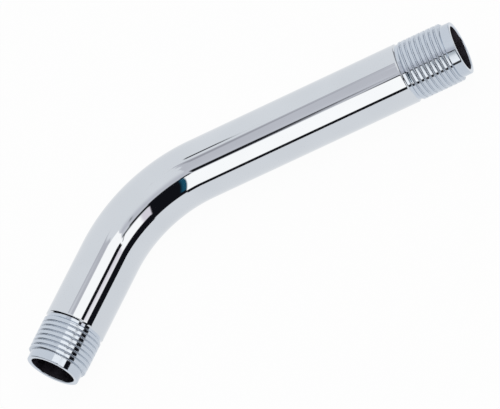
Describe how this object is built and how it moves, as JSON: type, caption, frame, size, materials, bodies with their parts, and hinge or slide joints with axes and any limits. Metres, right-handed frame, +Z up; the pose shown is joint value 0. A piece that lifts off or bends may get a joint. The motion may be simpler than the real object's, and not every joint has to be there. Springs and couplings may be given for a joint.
{
  "type": "shower arm",
  "caption": "Bent chrome pipe that carries water from a wall fitting to a shower head, with a taper pipe thread at each end.",
  "frame": {"origin": "centre of the wall end's rim, on the pipe's axis; the arm lies on its side, so the surface it rests on is half a pipe diameter below", "axes": "+X points out of the wall end's mouth, the bend lies in the XY plane and turns towards -Y, and +Z is up, square to the bend"},
  "size_m": [0.1747, 0.0696, 0.0214],
  "materials": {
    "polished_chrome": "mirror-polished chrome plate"
  },
  "bodies": {
    "root": {"shower_arm": "polished_chrome"}
  },
  "joints": []
}
